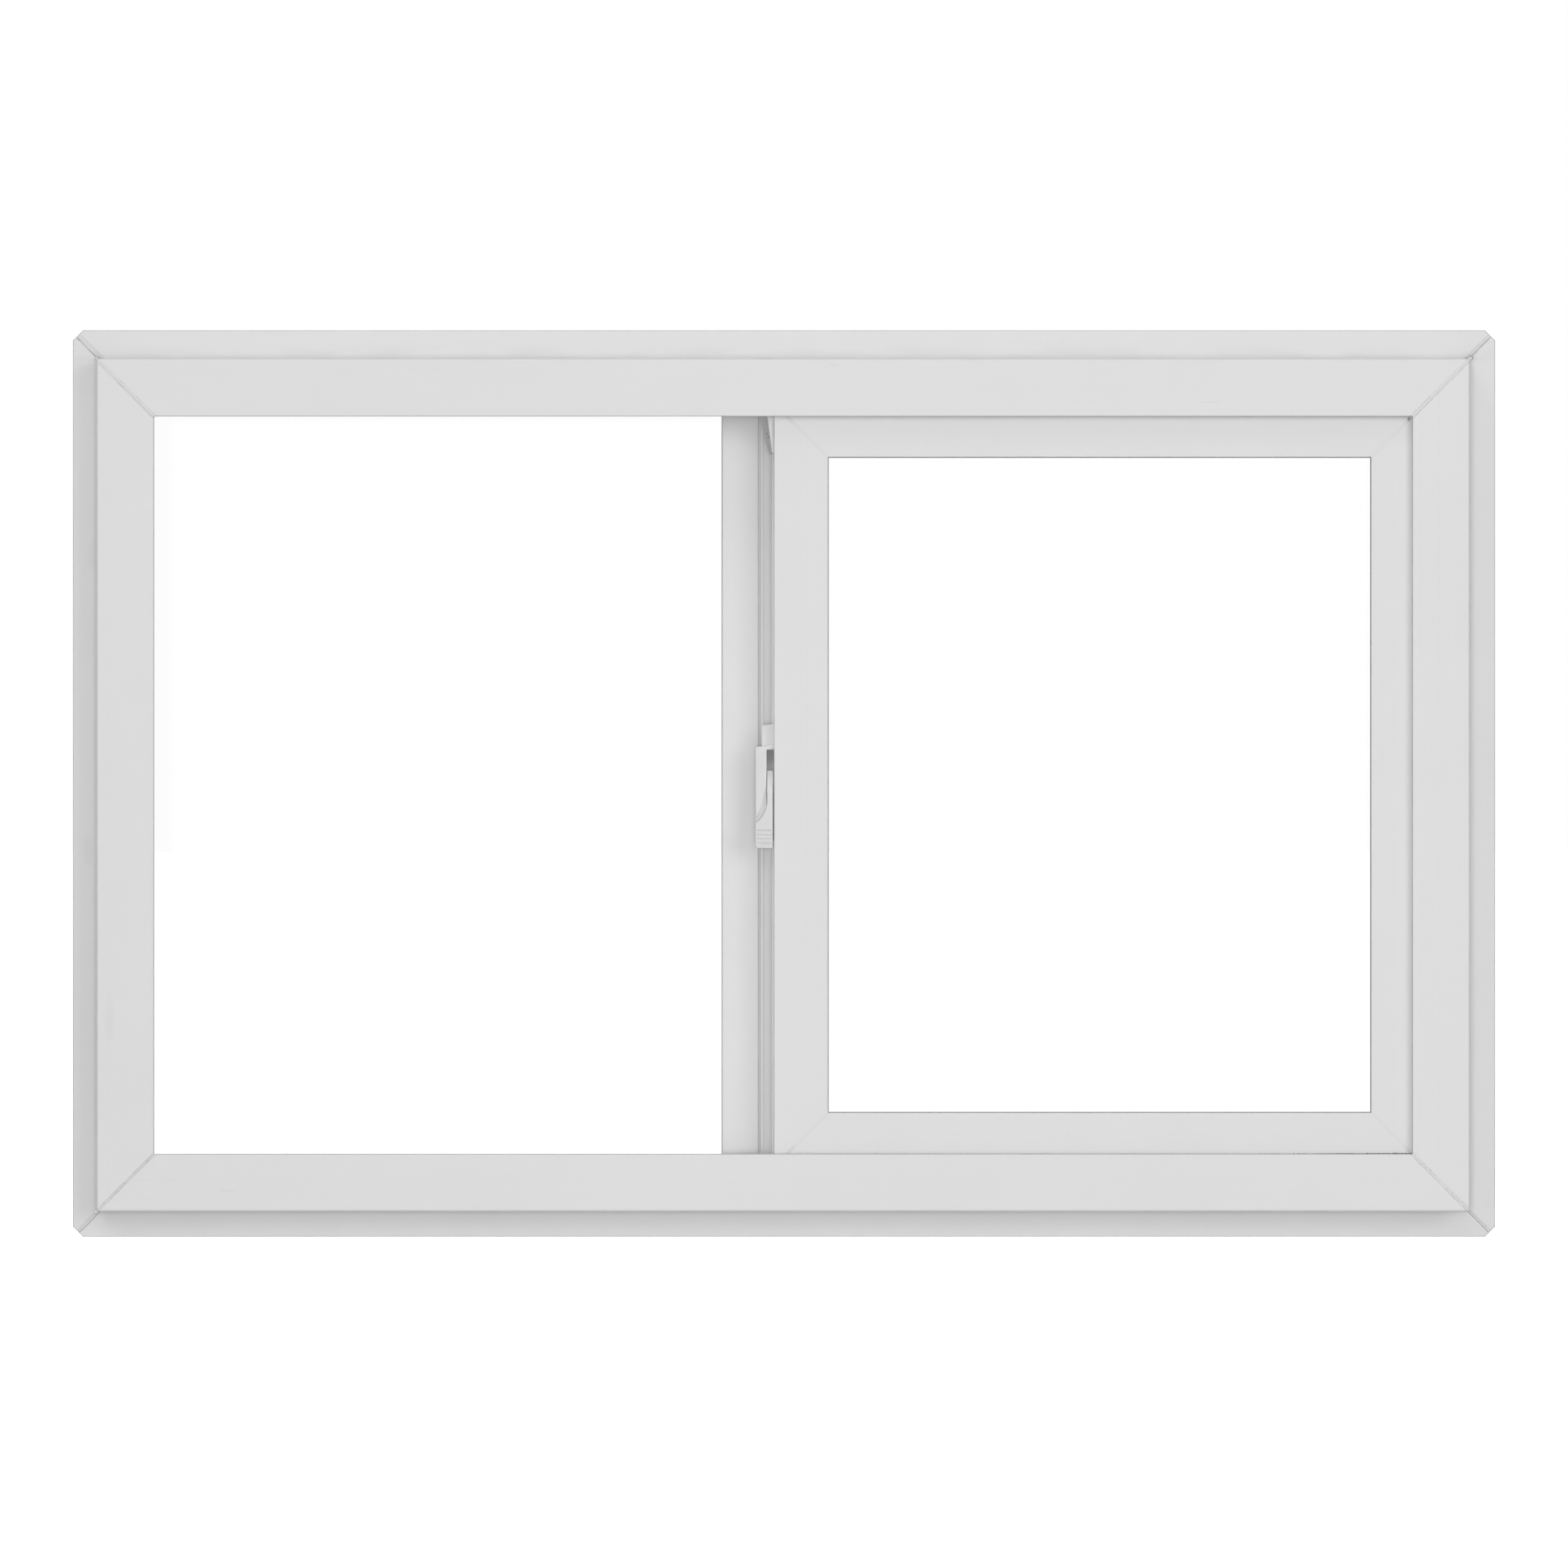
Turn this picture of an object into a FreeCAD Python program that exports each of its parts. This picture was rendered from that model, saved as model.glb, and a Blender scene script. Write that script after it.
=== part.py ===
import FreeCAD, Part
import math
import os

Vec = FreeCAD.Vector
DEPTH = Vec(0, 1, 0)

# Millimetres. +X is right and +Z up as seen from the room, +Y points outdoors.
# The origin lies on the wall side of the lower nailing flange, halfway along it and across its width.

# Frame, one extrusion on all four sides
FRAME_WIDTH = 1206.5
FRAME_HEIGHT = 749.3
FLANGE_WIDTH = 27.0
FLANGE_THICKNESS = 2.0
FLANGE_ROUND = 0.6
FLANGE_CLIP = 9.0
ROOM_REACH = 48.0
FACE_WIDTH = 50.8
LIP_THICKNESS = 3.0
WALL = 2.5
TRACK_DEPTH = 25.8
RAIL_GAP = 5.9
RAIL_THICKNESS = 3.0
DIVIDER_SETBACK = 9.0
DIVIDER_THICKNESS = 10.0
OUTER_LEG = 3.0
FACE_ROUND = 2.5
EDGE_ROUND = 0.8

# Shallow grooves that cleaning off the weld leaves along the mitres
FRAME_WELD_WIDTH = 2.4
FRAME_WELD_DEPTH = 0.4
SASH_WELD_WIDTH = 1.6
SASH_WELD_DEPTH = 0.25

# Sash
SASH_DEPTH = 30.0
SASH_FACE = 47.5
SASH_BITE = 11.9
SASH_CLEARANCE = 5.0
SASH_LEG = 3.0
SASH_CHANNEL = 14.5
SASH_ROUND = 1.0
MEETING_EDGE = -8.2

# Sealed double glazing, the seal it is bedded on and its beads
SEAL_THICKNESS = 0.8
SEAL_SHOW = 0.6
PANE = 3.0
PANE_GAP = 13.0
GLASS_BITE = 11.0
SASH_GLASS_BITE = 12.0
GLASS_EDGE_GAP = 2.0
STOP_THICKNESS = 3.0
SPACER_INSET = 3.5
SPACER_WIDTH = 6.5
BEAD_DEPTH = 8.7
SASH_BEAD_DEPTH = 6.8
BEAD_NOSE = 2.5
BEAD_FLAT = 2.0
BEAD_SETBACK = 1.0
SASH_BEAD_SETBACK = 2.5

# Fixed meeting stile
STILE_LEFT = -54.8
STILE_SETBACK = 7.0
STILE_FLAT = 32.0
STILE_GROOVE = 2.1
GROOVE_DEPTH = 3.0
STILE_RIB = 2.4
RIB_SETBACK = 0.5
CHANNEL_DEPTH = 2.2
HOOK_WALL = 2.5
HOOK_LEG_LEFT = 9.0
HOOK_LIP = 10.5
HOOK_LIP_THICKNESS = 2.0
HOOK_GAP = 1.5
HOOK_END_GAP = 5.0
FOOT_HEIGHT = 5.8
FOOT_SETBACK = 0.6
FOOT_RIGHT = -11.0

# Interlock strip on the sash
INTERLOCK_THICKNESS = 2.5
INTERLOCK_GRIP = 10.0
INTERLOCK_REACH = 7.0
INTERLOCK_LIP = 12.0
INTERLOCK_LIP_THICKNESS = 2.0

# Pile strips
PILE_INSET = 0.8
PILE_BASE_WIDTH = 2.7
PILE_BASE = 1.0
PILE_WIDTH = 2.0
PILE_GAP = 0.3

# Rollers
TREAD_RADIUS = 8.0
ROLLER_FLANGE = 1.5
WHEEL_WIDTH = 8.0
WHEEL_GROOVE = 4.0
RUN_GAP = 0.2
AXLE_RADIUS = 2.0
AXLE_GAP = 0.15
AXLE_SEAT = 1.0
HOUSING_LENGTH = 46.0
HOUSING_LIFT = 1.0
HOUSING_GAP = 0.2
WHEEL_POCKET_GAP = 0.6
ROLLER_FROM_END = 85.0

# Latch on the meeting edge of the sash, heights measured from mid height of the window
LATCH_WIDTH = 16.3
LATCH_FRONT_SETBACK = 6.5
LATCH_DEPTH = 13.0
LATCH_TOP = 33.0
LATCH_BOTTOM = -52.0
LATCH_SLOPE = 2.4
SLOT_WIDTH = 6.7
SLOT_DEPTH = 11.8
SLOT_TOP = 31.0
SLOT_FLOOR = 2.5
SCOOP_TOP = 5.3
SCOOP_BOTTOM = -30.6
SCOOP_BULGE = 1.15
SCOOP_DEPTH = 1.5
SCOOP_SLOPE = 17.8
TAB_WIDTH = 10.8
TAB_TOP = 52.0
TAB_SETBACK = 12.0
TAB_DEPTH = 6.0
TAB_HOLLOW_RADIUS = 16.0
TAB_HOLLOW = 0.8
LEVER_GAP = 0.6
LEVER_THICKNESS = 3.8
TONGUE_SETBACK = 1.0
LEVER_TOP = 12.5
LEVER_SIDE_GAP = 1.0
NECK_SLOPE = 20.0
NECK_DROP = 9.0
LEVER_FLARE_TOP = -16.7
PAD_TOP = -33.8
PAD_BOTTOM = -55.6
PAD_ROUND = 3.0
TONGUE_GAP = 0.4
LATCH_ROUND = 0.5
PAD_RIBS = 4
RIB_FIRST = -39.2
RIB_PITCH = 3.73
RIB_RADIUS = 1.1
RIB_INSET = 2.4

# Keeper in the channel behind the latch
KEEPER_WIDTH = 5.5
KEEPER_DEPTH = 2.2
KEEPER_HEIGHT = 40.0

# Wedge block at the top of the meeting edge
WEDGE_SETBACK = 4.0
WEDGE_DEPTH = 15.0
WEDGE_WIDTH = 7.3
WEDGE_TIP = 1.6
WEDGE_DROP = 43.8
WEDGE_FLARE = 7.9
WEDGE_TIP_FLARE = 3.3
WEDGE_TIP_ROUND = 1.2
WEDGE_CHAMFER = 0.5

# Weep slots in the outside wall of the sill
WEEP_LENGTH = 25.0
WEEP_HEIGHT = 5.0
WEEP_FROM_MIDDLE = 400.0
WEEP_RISE = 8.0

# How far cutters run past the solid they cut, and the slack in telling where an edge lies
OVERCUT = 1.0
SLACK = 0.001

# Depth positions
room_face = -ROOM_REACH
lip_back = room_face + LIP_THICKNESS
sash_front = lip_back + SASH_CLEARANCE
sash_back = sash_front + SASH_DEPTH
sash_middle = (sash_front + sash_back) / 2
divider_front = sash_back + SASH_CLEARANCE
divider_back = divider_front + DIVIDER_THICKNESS
glazing = SEAL_THICKNESS + PANE + PANE_GAP + PANE
bead_seat = divider_back + glazing
bead_face = bead_seat + BEAD_DEPTH
outside_face = bead_face + BEAD_SETBACK
stile_front = divider_front + STILE_SETBACK

# Positions across the frame section, measured inwards from the outer edge of the frame
track_floor = FACE_WIDTH - TRACK_DEPTH
sash_edge = FACE_WIDTH - SASH_BITE
rail_top = sash_edge - RAIL_GAP
divider_edge = FACE_WIDTH - DIVIDER_SETBACK
glass_edge = divider_edge - GLASS_BITE
leg_edge = glass_edge - GLASS_EDGE_GAP

# Positions across the sash section, measured inwards from the outer edge of the sash
sash_glass_edge = SASH_FACE - SASH_GLASS_BITE
sash_wall = sash_glass_edge - GLASS_EDGE_GAP

# Heights and widths
frame_bottom = FLANGE_WIDTH / 2
frame_top = frame_bottom + FRAME_HEIGHT
mid_height = (frame_bottom + frame_top) / 2
frame_right = FRAME_WIDTH / 2
frame_left = -frame_right
sash_bottom = frame_bottom + sash_edge
sash_top = frame_top - sash_edge
sash_right = frame_right - sash_edge


class Side:
    """One side of a rectangular ring. Its section is drawn as (distance inwards, depth)."""

    def __init__(self, middle, inward, half_length):
        self.middle = middle
        self.inward = inward
        self.along = inward.cross(DEPTH)
        self.half_length = half_length

    def at(self, inwards, depth, along=0.0):
        return self.middle + self.inward * inwards + DEPTH * depth + self.along * along


def ring(left, right, bottom, top):
    middle_x = (left + right) / 2
    middle_z = (bottom + top) / 2
    half_width = (right - left) / 2
    half_height = (top - bottom) / 2
    return {
        "top": Side(Vec(middle_x, 0, top), Vec(0, 0, -1), half_width),
        "bottom": Side(Vec(middle_x, 0, bottom), Vec(0, 0, 1), half_width),
        "left": Side(Vec(left, 0, middle_z), Vec(1, 0, 0), half_height),
        "right": Side(Vec(right, 0, middle_z), Vec(-1, 0, 0), half_height),
    }


def rounded_wire(corners, place):
    """Closed wire through (a, b, radius) corners, each rounded; place maps (a, b) into space."""
    spans = []
    for index, (a, b, radius) in enumerate(corners):
        here = Vec(a, b, 0)
        before = Vec(*corners[index - 1][:2], 0)
        after = Vec(*corners[(index + 1) % len(corners)][:2], 0)
        to_before = (before - here).normalize()
        to_after = (after - here).normalize()
        half_angle = to_before.getAngle(to_after) / 2
        reach = radius / math.tan(half_angle)
        bisector = (to_before + to_after).normalize()
        crown = here + bisector * (radius / math.sin(half_angle) - radius)
        spans.append((here + to_before * reach, crown, here + to_after * reach, radius))
    edges = []
    for index, (start, crown, end, radius) in enumerate(spans):
        if radius > 0:
            arc = Part.Arc(*[place(p.x, p.y) for p in (start, crown, end)])
            edges.append(arc.toShape())
        following = spans[(index + 1) % len(spans)][0]
        if end.distanceToPoint(following) > 1e-6:
            edges.append(Part.makeLine(place(end.x, end.y), place(following.x, following.y)))
    return Part.Wire(edges)


def sharp(points):
    return [(a, b, 0.0) for a, b in points]


def rectangle(a_low, a_high, b_low, b_high):
    return sharp([(a_low, b_low), (a_high, b_low), (a_high, b_high), (a_low, b_high)])


def prism(outline, place, sweep, holes=()):
    wires = [rounded_wire(corners, place) for corners in (outline, *holes)]
    return Part.makeFace(wires, "Part::FaceMakerBullseye").extrude(sweep)


def mitred_bar(side, outline, chambers=(), clip=0.0):
    """Run a section along one side of a ring and cut both ends at 45 degrees."""
    low = min(corner[0] for corner in outline)
    high = max(corner[0] for corner in outline)
    front = min(corner[1] for corner in outline) - OVERCUT
    back = max(corner[1] for corner in outline) + OVERCUT
    reach = side.half_length - min(low, 0) + OVERCUT
    bar = prism(outline, lambda a, b: side.at(a, b, -reach), side.along * (2 * reach), chambers)
    long_edge = side.half_length - low
    short_edge = side.half_length - high
    half = [(low, long_edge - clip), (low + clip / 2, long_edge - clip / 2), (high, short_edge)]
    if clip == 0:
        half = half[1:]
    plan = half + [(a, -along) for a, along in reversed(half)]
    blank = prism(sharp(plan), lambda a, along: side.at(a, front, along), DEPTH * (back - front))
    return bar.common(blank).Solids[0]


def weld_groove(bar, side, width, face, depth, groove_width):
    """Clear half of a shallow groove along both mitres of a bar, into the face at that depth position."""
    step = groove_width / math.sqrt(2)
    low, high = sorted((face - depth, face + depth))
    start, end = -OVERCUT, width + OVERCUT
    beyond = side.half_length + 2 * OVERCUT
    half = [(start, side.half_length - start - step), (end, side.half_length - end - step),
            (end, beyond), (start, beyond)]
    for hand in (1, -1):
        strip = sharp([(a, hand * along) for a, along in half])
        bar = bar.cut(prism(strip, lambda a, along: side.at(a, low, along), DEPTH * (high - low)))
    return bar.Solids[0]


def box(left, right, front, back, bottom, top):
    return Part.makeBox(right - left, back - front, top - bottom, Vec(left, front, bottom))


def upright(outline, bottom, top, holes=()):
    """Stand a plan drawn as (x, y) up from bottom to top."""
    return prism(outline, lambda x, y: Vec(x, y, bottom), Vec(0, 0, top - bottom), holes)


def facing(outline, front, back):
    """Give an elevation drawn as (x, z) its depth."""
    return prism(outline, lambda x, z: Vec(x, front, z), DEPTH * (back - front))


pieces = {}

# Frame: lip, sash track with its rail, divider, glazing seat, outer leg and flange in one hollow section
rail_front = sash_middle - RAIL_THICKNESS / 2
rail_back = sash_middle + RAIL_THICKNESS / 2
frame_section = [
    (0, room_face, FACE_ROUND),
    (FACE_WIDTH, room_face, EDGE_ROUND),
    (FACE_WIDTH, lip_back, EDGE_ROUND),
    (track_floor, lip_back, 0),
    (track_floor, rail_front, 0),
    (rail_top, rail_front, EDGE_ROUND),
    (rail_top, rail_back, EDGE_ROUND),
    (track_floor, rail_back, 0),
    (track_floor, divider_front, 0),
    (divider_edge, divider_front, EDGE_ROUND),
    (divider_edge, divider_back, EDGE_ROUND),
    (track_floor, divider_back, 0),
    (track_floor, outside_face - OUTER_LEG, 0),
    (leg_edge, outside_face - OUTER_LEG, EDGE_ROUND),
    (leg_edge, outside_face, EDGE_ROUND),
    (0, outside_face, FACE_ROUND),
    (0, FLANGE_THICKNESS, 0),
    (-FLANGE_WIDTH, FLANGE_THICKNESS, FLANGE_ROUND),
    (-FLANGE_WIDTH, 0, FLANGE_ROUND),
    (0, 0, 0),
]
chamber_walls = [room_face + WALL / 2, sash_middle, divider_front + WALL / 2,
                 (divider_back + outside_face) / 2, outside_face - WALL / 2]
frame_chambers = [
    rectangle(WALL, track_floor - WALL, front + WALL / 2, back - WALL / 2)
    for front, back in zip(chamber_walls, chamber_walls[1:])
]
frame_chambers.append(
    rectangle(track_floor, divider_edge - WALL, divider_front + WALL, divider_back - WALL))

frame_ring = ring(frame_left, frame_right, frame_bottom, frame_top)
for node, place in (("frame_head", "top"), ("frame_sill", "bottom"),
                    ("frame_left_jamb", "left"), ("frame_right_jamb", "right")):
    bar = mitred_bar(frame_ring[place], frame_section, frame_chambers, FLANGE_CLIP)
    for face in (room_face, outside_face):
        bar = weld_groove(bar, frame_ring[place], FACE_WIDTH, face, FRAME_WELD_DEPTH, FRAME_WELD_WIDTH)
    pieces[node] = bar

for middle in (-WEEP_FROM_MIDDLE, WEEP_FROM_MIDDLE):
    weep = box(middle - WEEP_LENGTH / 2, middle + WEEP_LENGTH / 2, outside_face - WALL - OVERCUT,
               outside_face + OVERCUT, frame_bottom + WEEP_RISE, frame_bottom + WEEP_RISE + WEEP_HEIGHT)
    pieces["frame_sill"] = pieces["frame_sill"].cut(weep).Solids[0]

# Fixed meeting stile: stop leg, hollow body, weather groove and rib, interlock channel with its hook
stop_back = stile_front + STOP_THICKNESS
body_left = STILE_LEFT + divider_edge - leg_edge
groove_left = STILE_LEFT + STILE_FLAT
rib_left = groove_left + STILE_GROOVE
rib_right = rib_left + STILE_RIB
channel_floor = stile_front + CHANNEL_DEPTH
hook_right = HOOK_LEG_LEFT + HOOK_WALL
hook_front = sash_back + HOOK_GAP
foot_front = stile_front + FOOT_SETBACK
foot_back = max(channel_floor, stile_front + GROOVE_DEPTH)
stile_section = [
    (STILE_LEFT, stile_front, EDGE_ROUND),
    (groove_left, stile_front, EDGE_ROUND),
    (groove_left, stile_front + GROOVE_DEPTH, 0),
    (rib_left, stile_front + GROOVE_DEPTH, 0),
    (rib_left, stile_front + RIB_SETBACK, EDGE_ROUND / 2),
    (rib_right, stile_front + RIB_SETBACK, EDGE_ROUND / 2),
    (rib_right, channel_floor, 0),
    (HOOK_LEG_LEFT, channel_floor, 0),
    (HOOK_LEG_LEFT, hook_front + HOOK_LIP_THICKNESS, 0),
    (HOOK_LEG_LEFT - HOOK_LIP, hook_front + HOOK_LIP_THICKNESS, EDGE_ROUND / 2),
    (HOOK_LEG_LEFT - HOOK_LIP, hook_front, EDGE_ROUND / 2),
    (hook_right, hook_front, EDGE_ROUND),
    (hook_right, channel_floor + HOOK_WALL, EDGE_ROUND),
    (rib_right, channel_floor + HOOK_WALL, 0),
    (rib_right, bead_face, EDGE_ROUND),
    (body_left, bead_face, EDGE_ROUND),
    (body_left, stop_back, 0),
    (STILE_LEFT, stop_back, EDGE_ROUND),
]
body_middle = (stile_front + bead_face) / 2
stile_chambers = [
    rectangle(body_left + WALL, rib_right - WALL, front, back)
    for front, back in ((stile_front + GROOVE_DEPTH + WALL, body_middle - WALL / 2),
                        (body_middle + WALL / 2, bead_face - WALL))
]
floor_bottom = frame_bottom + track_floor
floor_top = frame_top - track_floor
stile = upright(stile_section, floor_bottom, floor_top, stile_chambers)
for edge, inwards in ((frame_bottom, 1), (frame_top, -1)):
    before_hook = hook_front - OVERCUT
    past_hook = hook_right + OVERCUT
    ends = ((divider_edge, STILE_LEFT - OVERCUT, past_hook, before_hook, divider_back),
            (divider_edge + HOOK_END_GAP, rib_right, past_hook, before_hook, channel_floor),
            (leg_edge, body_left - OVERCUT, rib_right + OVERCUT, outside_face - OUTER_LEG, outside_face))
    for height, left, right, front, back in ends:
        low, high = sorted((edge, edge + inwards * height))
        stile = stile.cut(box(left, right, front, back, low, high))
    low, high = sorted((edge + inwards * divider_edge, edge + inwards * (divider_edge + FOOT_HEIGHT)))
    stile = stile.cut(box(STILE_LEFT - OVERCUT, groove_left, stile_front - OVERCUT, foot_front, low, high))
    stile = stile.fuse(box(groove_left, FOOT_RIGHT, foot_front, foot_back, low, high))
pieces["fixed_meeting_stile"] = stile.removeSplitter().Solids[0]

keeper_bottom = mid_height + (LATCH_TOP + LATCH_BOTTOM) / 2 - KEEPER_HEIGHT / 2
pieces["latch_keeper"] = box(rib_right, rib_right + KEEPER_WIDTH, channel_floor - KEEPER_DEPTH, channel_floor,
                             keeper_bottom, keeper_bottom + KEEPER_HEIGHT)


def glaze(prefix, rim, edge, stop_edge, stop_back, wall, bead_tip, bead_depth, bead_names):
    """The seal on the stop, two panes, the spacer between them and four mitred beads, inside a ring."""
    pane_front = stop_back + SEAL_THICKNESS
    gap_front = pane_front + PANE
    gap_back = gap_front + PANE_GAP
    back = gap_back + PANE

    def sheet(inset, front, behind):
        return box(rim["left"].middle.x + inset, rim["right"].middle.x - inset, front, behind,
                   rim["bottom"].middle.z + inset, rim["top"].middle.z - inset)

    def hoop(outer, inner, front, behind):
        return sheet(outer, front, behind).cut(sheet(inner, front, behind))

    pieces[prefix + "_glazing_seal"] = hoop(edge, stop_edge + SEAL_SHOW, stop_back, pane_front)
    pieces[prefix + "_inside_pane"] = sheet(edge, pane_front, gap_front)
    pieces[prefix + "_outside_pane"] = sheet(edge, gap_back, back)
    spacer_edge = edge + SPACER_INSET
    pieces[prefix + "_spacer"] = hoop(spacer_edge, spacer_edge + SPACER_WIDTH, gap_front, gap_back)
    bead_section = [
        (wall, back, 0),
        (bead_tip, back, 0),
        (bead_tip, back + BEAD_NOSE, EDGE_ROUND),
        (wall + BEAD_FLAT, back + bead_depth, EDGE_ROUND),
        (wall, back + bead_depth, 0),
    ]
    for place, node in bead_names.items():
        pieces[node] = mitred_bar(rim[place], bead_section)


fixed_ring = ring(frame_left, STILE_LEFT + divider_edge, frame_bottom, frame_top)
glaze("fixed", fixed_ring, glass_edge, divider_edge, divider_back, leg_edge,
      divider_edge - BEAD_SETBACK, BEAD_DEPTH,
      {"top": "fixed_bead_head", "bottom": "fixed_bead_sill",
       "left": "fixed_bead_jamb", "right": "fixed_bead_stile"})

# Sash: three sides carry an open channel on their outer edge, the meeting stile is closed there
stop_face = sash_front + STOP_THICKNESS
sash_face_corners = [
    (SASH_FACE, sash_front, SASH_ROUND),
    (SASH_FACE, stop_face, EDGE_ROUND),
    (sash_wall, stop_face, 0),
    (sash_wall, sash_back, EDGE_ROUND),
    (0, sash_back, EDGE_ROUND),
]
channelled_section = [(0, sash_front, EDGE_ROUND)] + sash_face_corners + sharp([
    (0, sash_back - SASH_LEG),
    (SASH_CHANNEL, sash_back - SASH_LEG),
    (SASH_CHANNEL, sash_front + SASH_LEG),
    (0, sash_front + SASH_LEG),
])
closed_section = [(0, sash_front, SASH_ROUND)] + sash_face_corners


def sash_chambers(first):
    return [
        rectangle(first, sash_wall - WALL, front, back)
        for front, back in ((sash_front + WALL, sash_middle - WALL / 2),
                            (sash_middle + WALL / 2, sash_back - WALL))
    ]


sash_ring = ring(MEETING_EDGE, sash_right, sash_bottom, sash_top)
for node, place, section, chamber in (("sash_top_rail", "top", channelled_section, SASH_CHANNEL + WALL),
                                      ("sash_bottom_rail", "bottom", channelled_section, SASH_CHANNEL + WALL),
                                      ("sash_end_stile", "right", channelled_section, SASH_CHANNEL + WALL),
                                      ("sash_meeting_stile", "left", closed_section, WALL)):
    bar = mitred_bar(sash_ring[place], section, sash_chambers(chamber))
    pieces[node] = weld_groove(bar, sash_ring[place], SASH_FACE, sash_front, SASH_WELD_DEPTH, SASH_WELD_WIDTH)

glaze("sash", sash_ring, sash_glass_edge, SASH_FACE, stop_face, sash_wall,
      SASH_FACE - SASH_BEAD_SETBACK, SASH_BEAD_DEPTH,
      {"top": "sash_bead_top", "bottom": "sash_bead_bottom",
       "left": "sash_bead_meeting", "right": "sash_bead_end"})

# Interlock strip: lies on the meeting edge, passes behind it and turns towards the hook of the fixed stile
strip_left = MEETING_EDGE - INTERLOCK_THICKNESS
strip_back = sash_back + INTERLOCK_REACH
interlock_section = [
    (strip_left, sash_back - INTERLOCK_GRIP, EDGE_ROUND),
    (MEETING_EDGE, sash_back - INTERLOCK_GRIP, 0),
    (MEETING_EDGE, strip_back - INTERLOCK_LIP_THICKNESS, 0),
    (MEETING_EDGE + INTERLOCK_LIP, strip_back - INTERLOCK_LIP_THICKNESS, EDGE_ROUND / 2),
    (MEETING_EDGE + INTERLOCK_LIP, strip_back, EDGE_ROUND / 2),
    (strip_left, strip_back, EDGE_ROUND),
]
interlock_end = divider_edge + HOOK_END_GAP
pieces["sash_interlock"] = upright(interlock_section, frame_bottom + interlock_end, frame_top - interlock_end)

# Pile strips between sash and divider
pile_middle = PILE_INSET + PILE_BASE_WIDTH / 2
pile_section = sharp([
    (PILE_INSET, sash_back),
    (PILE_INSET + PILE_BASE_WIDTH, sash_back),
    (PILE_INSET + PILE_BASE_WIDTH, sash_back + PILE_BASE),
    (pile_middle + PILE_WIDTH / 2, sash_back + PILE_BASE),
    (pile_middle + PILE_WIDTH / 2, divider_front - PILE_GAP),
    (pile_middle - PILE_WIDTH / 2, divider_front - PILE_GAP),
    (pile_middle - PILE_WIDTH / 2, sash_back + PILE_BASE),
    (PILE_INSET, sash_back + PILE_BASE),
])
for node, place in (("sash_pile_top", "top"), ("sash_pile_bottom", "bottom"), ("sash_pile_end", "right")):
    pieces[node] = mitred_bar(sash_ring[place], pile_section)

# Rollers: a housing that fills the channel of the bottom rail, its axle, and a grooved wheel on the rail
axle_height = frame_bottom + rail_top + RUN_GAP + TREAD_RADIUS
flange_radius = TREAD_RADIUS + ROLLER_FLANGE
housing_half = SASH_DEPTH / 2 - SASH_LEG - HOUSING_GAP
pocket_half = WHEEL_WIDTH / 2 + WHEEL_POCKET_GAP
pocket_reach = flange_radius + WHEEL_POCKET_GAP


def wheel_disc(radius, half_width, middle):
    front = Vec(middle, sash_middle - half_width, axle_height)
    return Part.makeCylinder(radius, 2 * half_width, front, DEPTH)


for hand, middle in (("left", MEETING_EDGE + ROLLER_FROM_END), ("right", sash_right - ROLLER_FROM_END)):
    housing = box(middle - HOUSING_LENGTH / 2, middle + HOUSING_LENGTH / 2,
                  sash_middle - housing_half, sash_middle + housing_half,
                  sash_bottom + HOUSING_LIFT, sash_bottom + SASH_CHANNEL)
    pocket = box(middle - pocket_reach, middle + pocket_reach, sash_middle - pocket_half,
                 sash_middle + pocket_half, sash_bottom, axle_height + pocket_reach)
    axle = wheel_disc(AXLE_RADIUS, pocket_half + AXLE_SEAT, middle)
    pieces["roller_housing_" + hand] = housing.cut(pocket).fuse(axle).removeSplitter().Solids[0]
    wheel = wheel_disc(flange_radius, WHEEL_WIDTH / 2, middle)
    groove = wheel_disc(flange_radius + OVERCUT, WHEEL_GROOVE / 2, middle)
    groove = groove.cut(wheel_disc(TREAD_RADIUS, WHEEL_GROOVE / 2, middle))
    bore = wheel_disc(AXLE_RADIUS + AXLE_GAP, WHEEL_WIDTH, middle)
    pieces["roller_wheel_" + hand] = wheel.cut(groove).cut(bore).Solids[0]

# Latch housing: a box with a sloping top, an open slot for the lever, a scooped panel and a stepped tab
latch_left = MEETING_EDGE - LATCH_WIDTH
latch_front = sash_front + LATCH_FRONT_SETBACK
latch_back = latch_front + LATCH_DEPTH
slot_left = MEETING_EDGE - SLOT_WIDTH
latch_top = mid_height + LATCH_TOP
latch_bottom = mid_height + LATCH_BOTTOM
rise = LATCH_SLOPE / LATCH_WIDTH
housing = facing([
    (latch_left, latch_bottom, PAD_ROUND),
    (MEETING_EDGE, latch_bottom, 0),
    (MEETING_EDGE, latch_top + LATCH_SLOPE, 0),
    (latch_left, latch_top, EDGE_ROUND),
], latch_front, latch_back)
free_edges = [edge for edge in housing.Edges
              if edge.BoundBox.YMax < latch_front + SLACK and edge.BoundBox.XMin < MEETING_EDGE - SLACK]
housing = housing.makeFillet(LATCH_ROUND, free_edges)
slot_top = mid_height + SLOT_TOP
slot = facing(sharp([
    (slot_left, latch_bottom + SLOT_FLOOR),
    (MEETING_EDGE, latch_bottom + SLOT_FLOOR),
    (MEETING_EDGE, slot_top + SLOT_WIDTH * rise),
    (slot_left, slot_top),
]), latch_front, latch_front + SLOT_DEPTH)


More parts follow.
